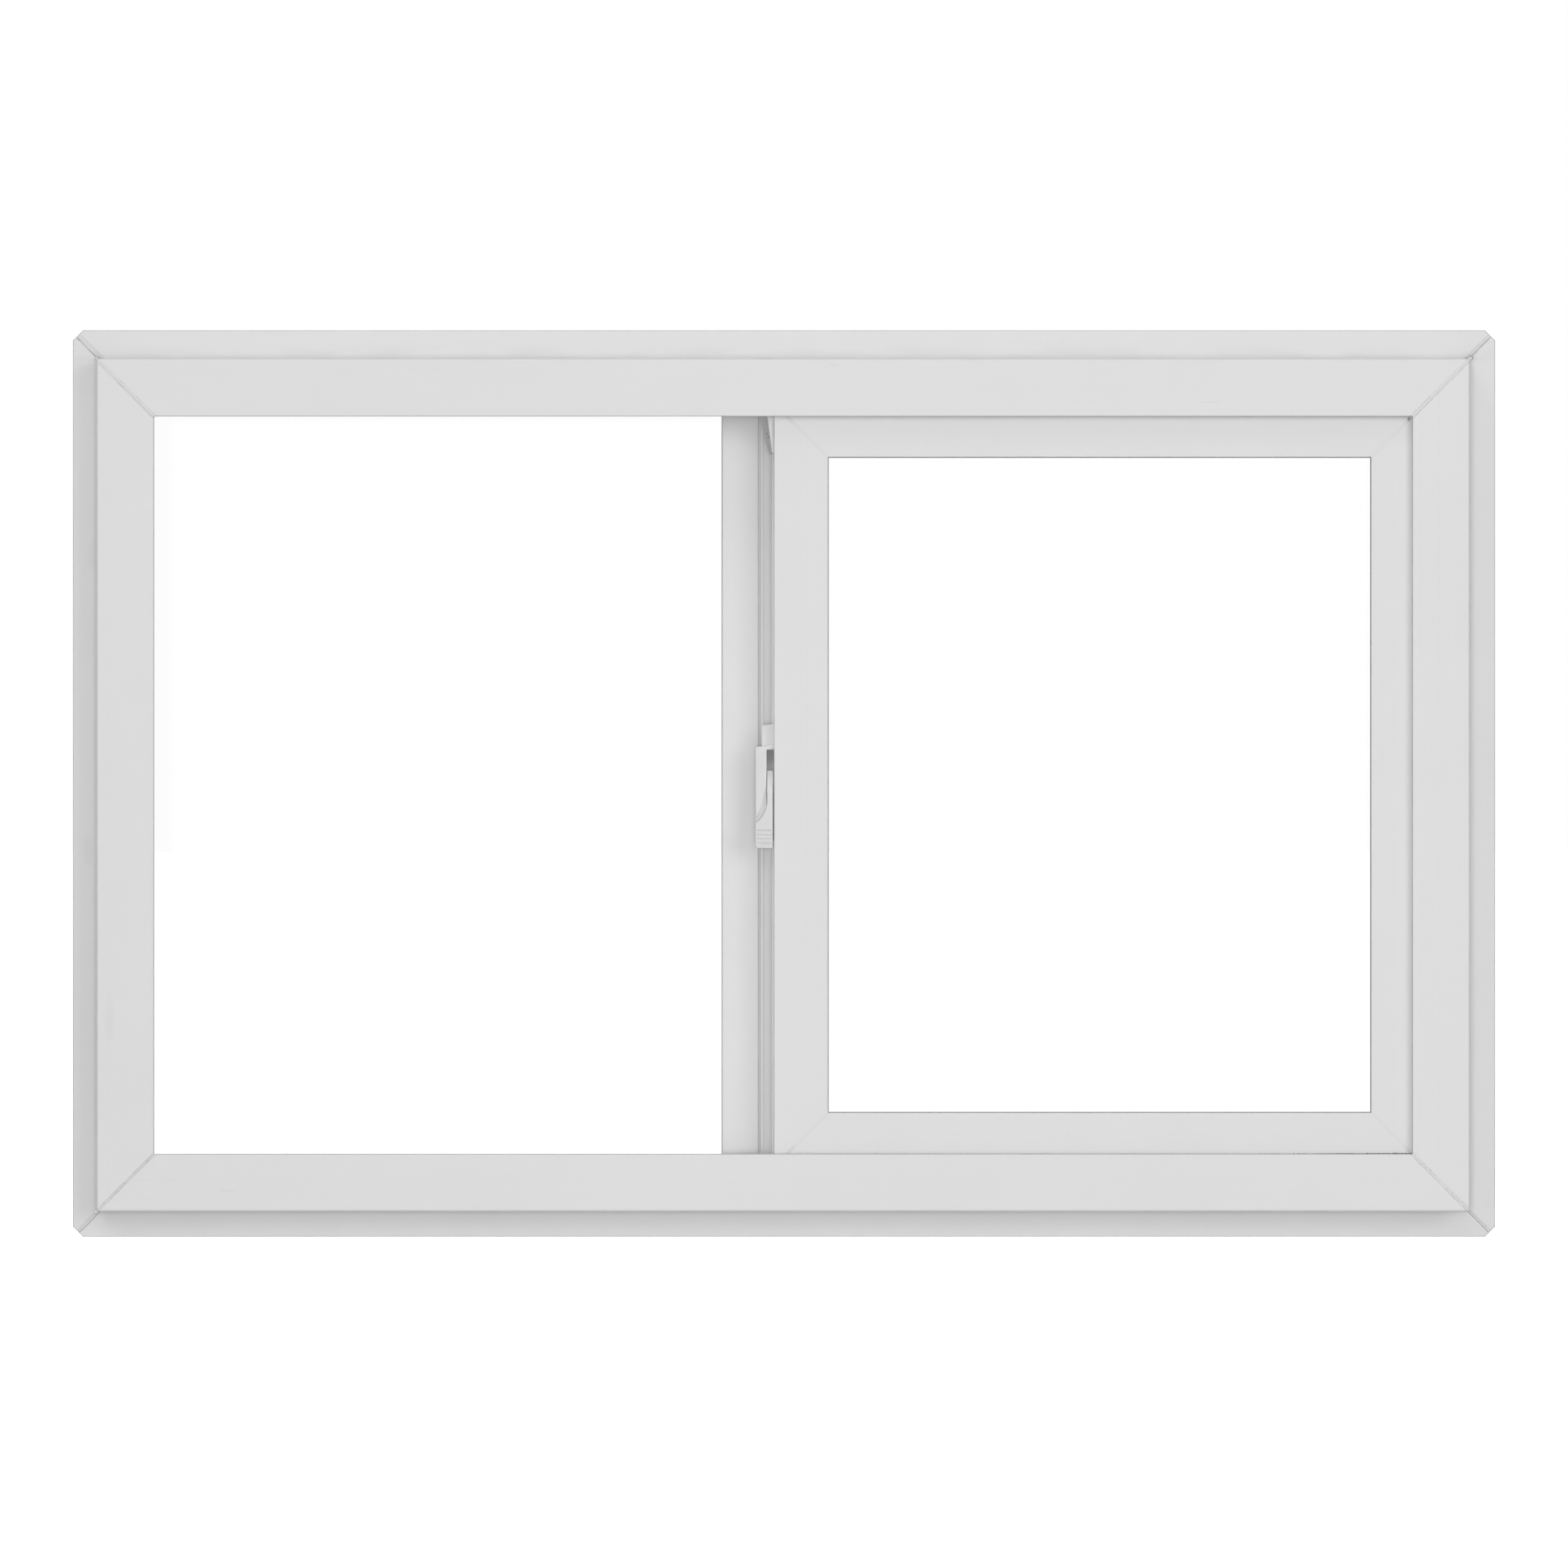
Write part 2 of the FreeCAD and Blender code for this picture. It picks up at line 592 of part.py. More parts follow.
def scoop_outline(depth, drop):
    """The scoop's edge sweeps from the slot down to the left side; deeper in, it starts lower."""
    high = Vec(slot_left, depth, mid_height + SCOOP_TOP - drop)
    low = Vec(latch_left, depth, mid_height + SCOOP_BOTTOM)
    bulge = (high + low) / 2 + Vec(SCOOP_BULGE, 0, -SCOOP_BULGE)
    rim = [
        low,
        Vec(latch_left - OVERCUT, depth, low.z),
        Vec(latch_left - OVERCUT, depth, latch_bottom - OVERCUT),
        Vec(MEETING_EDGE, depth, latch_bottom - OVERCUT),
        Vec(MEETING_EDGE, depth, high.z),
        high,
    ]
    return Part.Wire([Part.Arc(high, bulge, low).toShape()]
                     + [Part.makeLine(start, end) for start, end in zip(rim, rim[1:])])


scoop_ends = [scoop_outline(latch_front, 0.0), scoop_outline(latch_front + SCOOP_DEPTH, SCOOP_SLOPE)]
scoop = Part.makeLoft(scoop_ends, True, True)
tab_left = MEETING_EDGE - TAB_WIDTH
tab_front = latch_front + TAB_SETBACK - LATCH_FRONT_SETBACK
tab = facing([
    (tab_left, latch_top - SLOT_FLOOR, 0),
    (MEETING_EDGE, latch_top - SLOT_FLOOR, 0),
    (MEETING_EDGE, mid_height + TAB_TOP + TAB_WIDTH * rise, 0),
    (tab_left, mid_height + TAB_TOP, EDGE_ROUND),
], tab_front, tab_front + TAB_DEPTH)
tab_hollow = Part.makeCylinder(
    TAB_HOLLOW_RADIUS, LATCH_TOP + TAB_TOP,
    Vec((tab_left + MEETING_EDGE) / 2, tab_front + TAB_HOLLOW - TAB_HOLLOW_RADIUS, latch_top))
tab = tab.cut(tab_hollow).cut(slot)
pieces["latch_housing"] = housing.cut(slot).cut(scoop).fuse(tab).removeSplitter().Solids[0]

# Latch lever: a neck that flares into a ribbed thumb pad, on a tongue that runs in the slot
lever_back = latch_front - LEVER_GAP
lever_front = lever_back - LEVER_THICKNESS
lever_right = MEETING_EDGE - LEVER_SIDE_GAP
lever_top = mid_height + LEVER_TOP
neck_left = slot_left + LEVER_GAP
flare_top = Vec(neck_left, lever_front, mid_height + LEVER_FLARE_TOP)
flare_low = Vec(latch_left, lever_front, mid_height + PAD_TOP)
flare_middle = (flare_top + flare_low) / 2 + Vec(PAD_ROUND, 0, -PAD_ROUND) / 2
pad_bottom = mid_height + PAD_BOTTOM
bulge = PAD_ROUND * (1 - math.sqrt(0.5))
lever_wire = Part.Wire([
    Part.makeLine(Vec(neck_left, lever_front, lever_top), flare_top),
    Part.Arc(flare_top, flare_middle, flare_low).toShape(),
    Part.makeLine(flare_low, Vec(latch_left, lever_front, pad_bottom + PAD_ROUND)),
    Part.Arc(Vec(latch_left, lever_front, pad_bottom + PAD_ROUND),
             Vec(latch_left + bulge, lever_front, pad_bottom + bulge),
             Vec(latch_left + PAD_ROUND, lever_front, pad_bottom)).toShape(),
    Part.makeLine(Vec(latch_left + PAD_ROUND, lever_front, pad_bottom),
                  Vec(lever_right, lever_front, pad_bottom)),
    Part.makeLine(Vec(lever_right, lever_front, pad_bottom), Vec(lever_right, lever_front, lever_top)),
    Part.makeLine(Vec(lever_right, lever_front, lever_top), Vec(neck_left, lever_front, lever_top)),
])
lever = Part.Face(lever_wire).extrude(DEPTH * LEVER_THICKNESS)
front_edges = [edge for edge in lever.Edges if edge.BoundBox.YMax < lever_front + SLACK]
lever = lever.makeFillet(LATCH_ROUND, front_edges)
tongue_bottom = latch_bottom + SLOT_FLOOR + TONGUE_GAP
tongue = box(neck_left, lever_right, lever_front + TONGUE_SETBACK, latch_front + SLOT_DEPTH - TONGUE_GAP,
             tongue_bottom, lever_top)
slope = prism(sharp([
    (lever_front - OVERCUT, lever_top - NECK_SLOPE * (1 + OVERCUT / NECK_DROP)),
    (lever_front + NECK_DROP, lever_top),
    (lever_front + NECK_DROP, lever_top + OVERCUT),
    (lever_front - OVERCUT, lever_top + OVERCUT),
]), lambda y, z: Vec(latch_left, y, z), Vec(LATCH_WIDTH, 0, 0))
lever = lever.fuse(tongue).cut(slope)
for index in range(PAD_RIBS):
    height = mid_height + RIB_FIRST - index * RIB_PITCH
    start = Vec(latch_left + RIB_INSET, lever_front, height)
    length = lever_right - RIB_RADIUS - start.x
    rib = Part.makeCylinder(RIB_RADIUS, length, start, Vec(1, 0, 0))
    lever = lever.fuse(rib.fuse(Part.makeSphere(RIB_RADIUS, start)))
pieces["latch_lever"] = lever.removeSplitter().Solids[0]

# Wedge block: a tapered block on the meeting edge, wider at its back, eased where it meets the sash
wedge_front = sash_front + WEDGE_SETBACK


def wedge_outline(depth, width, tip):
    return rounded_wire([
        (MEETING_EDGE, sash_top, 0),
        (MEETING_EDGE, sash_top - WEDGE_DROP, 0),
        (MEETING_EDGE - tip, sash_top - WEDGE_DROP, WEDGE_TIP_ROUND),
        (MEETING_EDGE - width, sash_top, 0),
    ], lambda x, z: Vec(x, depth, z))


wedge_back = wedge_front + WEDGE_DEPTH
wedge = Part.makeLoft([
    wedge_outline(wedge_front, WEDGE_WIDTH, WEDGE_TIP),
    wedge_outline(wedge_back, WEDGE_WIDTH + WEDGE_FLARE, WEDGE_TIP + WEDGE_TIP_FLARE),
], True, True)
seat_edges = [edge for edge in wedge.Edges
              if edge.BoundBox.YMax < wedge_front + SLACK and edge.BoundBox.XMin > MEETING_EDGE - SLACK]
pieces["sash_wedge_block"] = wedge.makeChamfer(WEDGE_CHAMFER, seat_edges)

os.makedirs("parts", exist_ok=True)
for node, shape in pieces.items():
    shape.exportStep("parts/" + node + ".step")
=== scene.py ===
import math
import random

import bmesh
import bpy
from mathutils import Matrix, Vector


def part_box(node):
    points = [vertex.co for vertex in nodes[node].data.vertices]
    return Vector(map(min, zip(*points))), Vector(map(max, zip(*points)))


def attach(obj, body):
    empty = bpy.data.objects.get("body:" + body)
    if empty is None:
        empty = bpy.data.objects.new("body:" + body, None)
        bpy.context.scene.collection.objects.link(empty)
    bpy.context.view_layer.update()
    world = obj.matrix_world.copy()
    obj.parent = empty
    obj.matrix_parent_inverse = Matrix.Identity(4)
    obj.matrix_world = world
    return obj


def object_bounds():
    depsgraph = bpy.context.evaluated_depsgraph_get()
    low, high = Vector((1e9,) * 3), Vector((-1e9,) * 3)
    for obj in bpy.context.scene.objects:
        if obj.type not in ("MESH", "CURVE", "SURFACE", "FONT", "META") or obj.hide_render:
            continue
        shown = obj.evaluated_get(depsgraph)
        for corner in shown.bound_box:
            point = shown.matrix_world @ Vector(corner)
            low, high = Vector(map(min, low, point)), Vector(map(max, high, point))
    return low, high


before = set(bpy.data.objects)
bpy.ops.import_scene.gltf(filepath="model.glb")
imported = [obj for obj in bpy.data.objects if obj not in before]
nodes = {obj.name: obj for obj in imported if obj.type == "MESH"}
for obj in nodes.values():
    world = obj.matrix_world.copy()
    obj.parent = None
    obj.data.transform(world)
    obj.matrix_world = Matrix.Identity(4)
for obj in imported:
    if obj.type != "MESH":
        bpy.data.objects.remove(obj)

cad_low, cad_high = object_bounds()


# Frame: four lengths of one white vinyl extrusion with their nailing flange, cut to mitres and hot-welded.
# The die leaves faint lines along every length and handling leaves marks. Painted shade darkens the lip's
# inner edge and the flange's outer and clipped edges, and mottled painted shade lies on the top flange by
# the frame.
class Shade:
    """A value in a material's node tree. Arithmetic on it adds Math nodes."""

    def __init__(self, tree, socket):
        self.tree = tree
        self.socket = socket

    def add(self, kind, settings=None, inputs=None, output=0):
        """A further node: its settings are set first, then the values or links of its sockets."""
        node = self.tree.nodes.new(kind)
        for name, value in (settings or {}).items():
            setattr(node, name, value)
        for key, value in (inputs or {}).items():
            if isinstance(value, Shade):
                self.tree.links.new(value.socket, node.inputs[key])
            else:
                node.inputs[key].default_value = value
        return Shade(self.tree, node.outputs[output])

    def math(self, operation, first, second=0.0, clamp=False):
        settings = {"operation": operation, "use_clamp": clamp}
        return self.add("ShaderNodeMath", settings, {0: first, 1: second})

    def __add__(self, other):
        return self.math("ADD", self, other)

    __radd__ = __add__

    def __sub__(self, other):
        return self.math("SUBTRACT", self, other)

    def __rsub__(self, other):
        return self.math("SUBTRACT", other, self)

    def __mul__(self, other):
        return self.math("MULTIPLY", self, other)

    __rmul__ = __mul__

    def __abs__(self):
        return self.math("ABSOLUTE", self)

    def least(self, other):
        return self.math("MINIMUM", self, other)

    def clamped(self):
        return self.math("ADD", self, clamp=True)

    def axis(self, name):
        return self.add("ShaderNodeSeparateXYZ", None, {0: self}, name)

    def length(self):
        return self.add("ShaderNodeVectorMath", {"operation": "LENGTH"}, {0: self}, "Value")

    def between(self, low, high):
        """0 below low, 1 above high, smooth between them."""
        return self.add("ShaderNodeMapRange", {"interpolation_type": "SMOOTHSTEP"},
                        {"Value": self, "From Min": low, "From Max": high})

    def mix(self, first, second):
        """From the first colour at 0 to the second at 1."""
        return self.add("ShaderNodeMix", {"data_type": "RGBA"}, {0: self, 6: first, 7: second}, 2)

    def relief(self, strength, depth):
        """A bumpy surface of that depth, which this value gives the height of."""
        return self.add("ShaderNodeBump", None, {"Strength": strength, "Distance": depth, "Height": self})


def grey(level):
    return (level, level, level, 1.0)


def new_finish(name):
    """A fresh material: its surface shader and the object coordinates that its patterns are laid out in."""
    material = bpy.data.materials.new(name)
    material.use_nodes = True
    surface = material.node_tree.nodes["Principled BSDF"]
    start = Shade(material.node_tree, None)
    place = start.add("ShaderNodeTexCoord", output="Object")
    return material, surface, place


def feed(surface, socket, value):
    value.tree.links.new(value.socket, surface.inputs[socket])


def noise(place, scale, detail=2.0, stretch=(1.0, 1.0, 1.0)):
    laid = place.add("ShaderNodeMapping", {"vector_type": "POINT"}, {"Vector": place, "Scale": stretch})
    return place.add("ShaderNodeTexNoise", None, {"Vector": laid, "Scale": scale, "Detail": detail}, "Fac")


def line(value, at, half_width):
    """1 where the value is at a place, 0 past half a line's width from it."""
    return 1 - abs(value - at).between(0.0, half_width)


ALL_DEPTHS = 1000.0
SPOT_CORE = 0.3


def spot(place, x, z, wide, tall):
    """1 at a point of the window's face, fading out to an ellipse round it."""
    laid = place.add("ShaderNodeMapping", {"vector_type": "TEXTURE"},
                     {"Vector": place, "Location": (x, 0.0, z), "Scale": (wide, ALL_DEPTHS, tall)})
    return 1 - laid.length().between(SPOT_CORE, 1.0)


def inside_edges(place, low, high):
    """How far a point lies inside the upright edges of a rectangle, and inside its level edges."""
    across = abs(place.axis("X") - (low[0] + high[0]) / 2)
    up = abs(place.axis("Z") - (low[1] + high[1]) / 2)
    return (high[0] - low[0]) / 2 - across, (high[1] - low[1]) / 2 - up


VINYL_CLEAN = grey(0.745)
VINYL_SOILED = grey(0.60)
# The dark grey that both dirt and painted shade are mixed towards
VINYL_DIRT_AND_SHADE = grey(0.16)
VINYL_IOR = 1.53
VINYL_SPECULAR = 0.35
VINYL_ROUGHNESS = 0.36
CLOUD_ROUGHNESS = 0.14
DARKENING_ROUGHNESS = 0.3
DIE_LINE_SCALE = 700.0
DIE_LINE_STRETCH = 0.004
CLOUD_SCALE = 9.0
SPECK_SCALE = 420.0
GRAIN_SCALE = 2600.0
GRAIN_SHARE = 0.5
CLOUD_SOIL = 0.10
DIE_LINE_SOIL = 0.05
SPECK_SOIL = 0.22

# The stretch of a noise over which its marks come up, and a relief's strength and depth
CLOUD_RANGE = (0.35, 0.95)
DIE_LINE_RANGE = (0.45, 0.9)
SPECK_RANGE = (0.74, 0.80)
VINYL_RELIEF = (0.25, 0.00008)


def vinyl(name, along, darkening=None):
    """White vinyl with die lines along X or Z, and the darkening, dirt and painted shade, that a function
    of the place gives.
    """
    material, surface, place = new_finish(name)
    lines_x = DIE_LINE_STRETCH if along == "X" else 1.0
    lines_z = DIE_LINE_STRETCH if along == "Z" else 1.0
    lines = noise(place, DIE_LINE_SCALE, detail=3.0, stretch=(lines_x, 1.0, lines_z))
    cloud = noise(place, CLOUD_SCALE, detail=4.0)
    specks = noise(place, SPECK_SCALE, detail=1.0).between(*SPECK_RANGE)
    soil = cloud.between(*CLOUD_RANGE) * CLOUD_SOIL + lines.between(*DIE_LINE_RANGE) * DIE_LINE_SOIL
    colour = (soil + specks * SPECK_SOIL).mix(VINYL_CLEAN, VINYL_SOILED)
    roughness = VINYL_ROUGHNESS + cloud * CLOUD_ROUGHNESS
    if darkening:
        dark_share = darkening(place)
        colour = dark_share.mix(colour, VINYL_DIRT_AND_SHADE)
        roughness = roughness + dark_share * DARKENING_ROUGHNESS
    feed(surface, "Base Color", colour)
    feed(surface, "Roughness", roughness)
    surface.inputs["IOR"].default_value = VINYL_IOR
    surface.inputs["Specular IOR Level"].default_value = VINYL_SPECULAR
    grain = noise(place, GRAIN_SCALE)
    feed(surface, "Normal", (lines + grain * GRAIN_SHARE).relief(*VINYL_RELIEF))
    return material


def finish(material, *names):
    for name in names:
        mesh = nodes[name].data
        mesh.materials.clear()
        mesh.materials.append(material)


FLANGE_WIDTH = 0.0270
FLANGE_CLIP = 0.0090
FACE_WIDTH = 0.0508
FACE_ROUND = 0.0025
EDGE_LINE = 0.0004
# Painted shade: how dark the thin lines along the lip's inner edge and the flange's outer and clipped edges
# are
LIP_EDGE_SHADE = 0.35
FLANGE_EDGE_SHADE = 0.45
frame_low = (cad_low[0] + FLANGE_WIDTH, cad_low[2] + FLANGE_WIDTH)
frame_high = (cad_high[0] - FLANGE_WIDTH, cad_high[2] - FLANGE_WIDTH)

# Lines along the die: how far inside the outer edge, darkness
DIE_MARK = 0.0004
FRAME_DIE_MARKS = ((0.0275, 0.03), (0.0110, 0.03))

# Mottled painted shade on the top flange next to the frame: where it starts, thins out and ends above the
# frame's outer edge
TOP_SHADE_EDGE = 0.0005
TOP_SHADE_FULL = 0.0060
TOP_SHADE_END = 0.0170
TOP_SHADE_SCALE = 60.0
TOP_SHADE_STRETCH = (0.25, 1.0, 1.0)
TOP_SHADE_RANGE = (0.35, 0.65)
TOP_FLANGE_SHADE = 0.06

# Marks on the frame: place across and up, reach across and up, darkness
LEFT_JAMB_SMUDGE = (-0.5914, 0.1833, 0.0060, 0.0280, 0.05)
LEFT_FLANGE_SMUDGES = ((-0.6128, 0.5894, 0.0060, 0.0200, 0.05), (-0.6163, 0.3294, 0.0060, 0.0200, 0.05))
FACE_SCRATCHES = ((-0.4881, 0.0322, 0.0120, 0.0008, 0.10), (0.0463, 0.7569, 0.0100, 0.0007, 0.10),
                  (0.3741, 0.7248, 0.0120, 0.0007, 0.08))
HEAD_JOINT_SMUDGE = (-0.0178, 0.7647, 0.0150, 0.0012, 0.20)
FRAME_MARKS = (LEFT_JAMB_SMUDGE, *LEFT_FLANGE_SMUDGES, *FACE_SCRATCHES, HEAD_JOINT_SMUDGE)


def frame_dirt_and_shade(place):
    """Painted shade along the lip's and flange's edges and on the top flange by the frame, the die's darker
    lines, and the marks.
    """
    upright, level = inside_edges(place, frame_low, frame_high)
    inward = upright.least(level)
    # Painted shade: thin dark lines where the lip's inner edge and the flange's outer and clipped edges
    # turn from the light
    lip_edge = inward.between(FACE_WIDTH - 2 * EDGE_LINE, FACE_WIDTH - EDGE_LINE)
    flange_edge = 1 - inward.between(EDGE_LINE - FLANGE_WIDTH, 2 * EDGE_LINE - FLANGE_WIDTH)
    clip = 2 * FLANGE_WIDTH - FLANGE_CLIP
    clip_edge = (0 - upright - level).between(clip - 3 * EDGE_LINE, clip - 1.5 * EDGE_LINE)
    # Painted shade: a mottled darker band on the top flange, fullest next to the frame
    above = place.axis("Z") - frame_high[1]
    top_shade_band = above.between(-TOP_SHADE_EDGE, TOP_SHADE_EDGE) * (1 - above.between(TOP_SHADE_FULL, TOP_SHADE_END))
    top_shade_mottle = noise(place, TOP_SHADE_SCALE, detail=3.0, stretch=TOP_SHADE_STRETCH).between(*TOP_SHADE_RANGE)
    darkening = lip_edge * LIP_EDGE_SHADE + (flange_edge + clip_edge) * FLANGE_EDGE_SHADE
    darkening = darkening + top_shade_band * top_shade_mottle * TOP_FLANGE_SHADE
    for inside, darkness in FRAME_DIE_MARKS:
        darkening = darkening + line(inward, inside, DIE_MARK) * darkness
    for x, z, wide, tall, darkness in FRAME_MARKS:
        darkening = darkening + spot(place, x, z, wide, tall) * darkness
    return darkening.clamped()


finish(vinyl("frame_vinyl_level", "X", frame_dirt_and_shade), "frame_head", "frame_sill")
finish(vinyl("frame_vinyl_upright", "Z", frame_dirt_and_shade), "frame_left_jamb", "frame_right_jamb")


# Frame welds: the rough band that the cleaning knife leaves along each mitre, indoors and outdoors, the
# bead left standing on the flange, and flash squeezed out down three outer corners.
# All are the frame's own vinyl, with dirt caught in the pits and along the sides, painted shade along the
# lower side of the flange's bead, and painted shade on the far side of the flash.
WELD_STEPS = 110
WELD_CELLS = 6
WELD_START = 0.0010
WELD_LIFT = 0.00004
WELD_ROUGH = 0.00003
WELD_ROOT = 0.0003
FACE_CROWN = 0.00006
FLANGE_CROWN = 0.00030
OUTSIDE_FACE_WIDTH = 0.0288

# How the band's width wanders along the mitre: lengths of the waves, and shares of the width
WANDER_LONG = 0.0019
WANDER_SHORT = 0.0007
WANDER_LONG_SHARE = 0.05
WANDER_SHORT_SHARE = 0.03
WANDER_RANDOM_SHARE = 0.02
room_face = cad_low[1]
outside_face = cad_high[1]
flange_face = 0.0


def loft(shape, rings):
    """Close a skin over rings of points, with a flat end at the first and at the last."""
    rows = [[shape.verts.new(point) for point in ring] for ring in rings]
    for before, after in zip(rows, rows[1:]):
        for index in range(len(before)):
            shape.faces.new((before[index - 1], before[index], after[index], after[index - 1]))
    shape.faces.new(rows[0])
    shape.faces.new(reversed(rows[-1]))


def smooth_piece(name, shape, material, body):
    """Turn a built shape into a piece that rides on a body."""
    bmesh.ops.recalc_face_normals(shape, faces=shape.faces)
    for face in shape.faces:
        face.smooth = True
    mesh = bpy.data.meshes.new(name)
    shape.to_mesh(mesh)
    shape.free()
    mesh.materials.append(material)
    piece = bpy.data.objects.new(name, mesh)
    bpy.context.scene.collection.objects.link(piece)
    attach(piece, body)


def weld_band(shape, chance, mitre, span, face, outwards, half, crown, square_end=False):
    """A rough band along a mitre, between two distances inside the corner, on a face at that depth.
    Its ends follow the frame's edges, or its far end is cut square."""
    corner, inwards = mitre
    start, end = span
    along = Vector((inwards[0], 0.0, inwards[1]))
    across = Vector((inwards[0], 0.0, -inwards[1])) * math.sqrt(0.5)
    phases = (chance.uniform(0.0, 2 * math.pi), chance.uniform(0.0, 2 * math.pi))
    rings = []
    for step in range(WELD_STEPS + 1):
        share = step / WELD_STEPS
        inside = start + (end - start) * share
        wander = WANDER_LONG_SHARE * math.sin(inside / WANDER_LONG + phases[0])
        wander = wander + WANDER_SHORT_SHARE * math.sin(inside / WANDER_SHORT + phases[1])
        reach = half * (1 + wander + chance.uniform(-WANDER_RANDOM_SHARE, WANDER_RANDOM_SHARE))
        short = FACE_ROUND - inside if 0 < inside < FACE_ROUND else 0.0
        fall = FACE_ROUND - math.sqrt(FACE_ROUND ** 2 - short ** 2)
        top = []
        bottom = []
        for cell in range(WELD_CELLS + 1):
            side = 2 * cell / WELD_CELLS - 1
            slant = abs(reach * side) * math.sqrt(0.5) * (1 - share if square_end else 1)
            foot = Vector((corner[0], face - outwards * fall, corner[1])) + along * (inside + slant)
            foot = foot + across * (reach * side)
            rise = WELD_LIFT + crown * (1 - side * side) + WELD_ROUGH * chance.uniform(-1.0, 1.0)
            top.append(foot + Vector((0.0, outwards * rise, 0.0)))
            bottom.append(foot - Vector((0.0, outwards * WELD_ROOT, 0.0)))
        rings.append(top + bottom[::-1])
    loft(shape, rings)


WELD_GREY = grey(0.70)
WELD_ROUGHNESS = 0.45
WELD_DARK_ROUGHNESS = 0.4
WELD_PATCH_SCALE = 90.0
WELD_PATCH_RANGE = (0.42, 0.60)
WELD_PIT_SCALE = 900.0
WELD_PIT_RANGE = (0.54, 0.70)
WELD_TEAR_SCALE = 1500.0
WELD_RELIEF = (0.5, 0.0001)

# Where the dirt and painted shade come up: inside a band's sides, at the face's edge, before the flange, on
# the far side of the flash and below the middle of the bead
RIM_FROM = 0.0007
RIM_TO = 0.0002
FACE_FADE = 0.0006
FLANGE_FADE = (0.006, 0.002)
FLASH_FAR_SIDE = (0.0010, 0.0018)
LOWER_FADE = 0.0004

# How much dirt and painted shade there is: dirt along the sides of the face's band, on the flange's bead
# and along its sides, painted shade along the bead's lower side, and painted shade on the flash
FACE_RIM_DIRT = 0.10
FACE_RIM_PATCHES = 0.30
BEAD_DIRT = 0.04
BEAD_PATCHES = 0.08
BEAD_RIM_DIRT = 0.14
BEAD_LOWER_SHADE = 0.46
FLASH_SHADE = 0.5


def welded_vinyl(name, up, face_half, flange_half, pitting):
    """Vinyl torn by the knife: soiled in the pits and along both sides, with painted shade along the lower
    side of the flange's bead and on the far side of the flash."""
    material, surface, place = new_finish(name)
    upright, level = inside_edges(place, frame_low, frame_high)
    inward = upright.least(level)
    on_face = inward.between(-FACE_FADE, 0.0)
    in_front = [flange_face - distance for distance in FLANGE_FADE]
    before_flange = 1 - place.axis("Y").between(*in_front)
    lower = (level - upright) * (up * math.sqrt(0.5))
    half = on_face * (face_half - flange_half) + flange_half
    rim = (abs(lower) - half).between(-RIM_FROM, -RIM_TO)
    patches = noise(place, WELD_PATCH_SCALE, detail=4.0).between(*WELD_PATCH_RANGE)
    face_dirt = rim * (FACE_RIM_DIRT + patches * FACE_RIM_PATCHES)
    # Painted shade: darker along the lower side of the flange's bead
    bead_rim = rim * (BEAD_RIM_DIRT + lower.between(0.0, LOWER_FADE) * BEAD_LOWER_SHADE)
    bead_dirt_and_shade = BEAD_DIRT + patches * BEAD_PATCHES + bead_rim
    # Painted shade: the far side of the flash, outside the frame's outer edge, is darker
    flash_shade = (0 - inward).between(*FLASH_FAR_SIDE) * before_flange * FLASH_SHADE
    pits = noise(place, WELD_PIT_SCALE).between(*WELD_PIT_RANGE) * pitting
    off_face = bead_dirt_and_shade * (1 - before_flange) + flash_shade
    dark_share = off_face + on_face * (face_dirt + pits - off_face)
    feed(surface, "Base Color", dark_share.mix(WELD_GREY, VINYL_DIRT_AND_SHADE))
    feed(surface, "Roughness", WELD_ROUGHNESS + dark_share * WELD_DARK_ROUGHNESS)
    feed(surface, "Normal", noise(place, WELD_TEAR_SCALE, detail=3.0).relief(*WELD_RELIEF))
    return material


FLASH_SIDES = 20
FLASH_RINGS = 40
FLASH_OUT_SHARE = 0.25
FLASH_START_SHARE = 0.4
FLASH_TIP = 0.0002
LUMP_ROUND_SHARE = 0.08
LUMP_ALONG_SHARE = 0.05
LUMP_LENGTH = 0.004


def corner_flash(shape, chance, mitre, radius):
    """A lumpy bead of flash down the frame's outer corner, from its rounded front back to the flange."""
    corner, inwards = mitre
    outward = Vector((-inwards[0], 0.0, -inwards[1])) * (radius * FLASH_OUT_SHARE)
    front = room_face + FACE_ROUND * FLASH_START_SHARE
    lumps = (chance.uniform(0.0, 2 * math.pi), chance.uniform(0.0, 2 * math.pi))
    rings = []
    for step in range(FLASH_RINGS + 1):
        share = (step / FLASH_RINGS) ** 2
        depth = (flange_face - front) * share
        nose = max(0.0, 1 - (depth + FLASH_TIP) / radius)
        middle = Vector((corner[0], front + depth, corner[1])) + outward
        ring = []
        for side in range(FLASH_SIDES):
            angle = 2 * math.pi * side / FLASH_SIDES
            lump = 1 + LUMP_ROUND_SHARE * math.sin(2 * angle + lumps[0])
            lump = lump + LUMP_ALONG_SHARE * math.sin(depth / LUMP_LENGTH + lumps[1] + angle)
            size = radius * lump * math.sqrt(1 - nose ** 2)
            ring.append(middle + Vector((math.cos(angle), 0.0, math.sin(angle))) * size)
        rings.append(ring)
    loft(shape, rings)


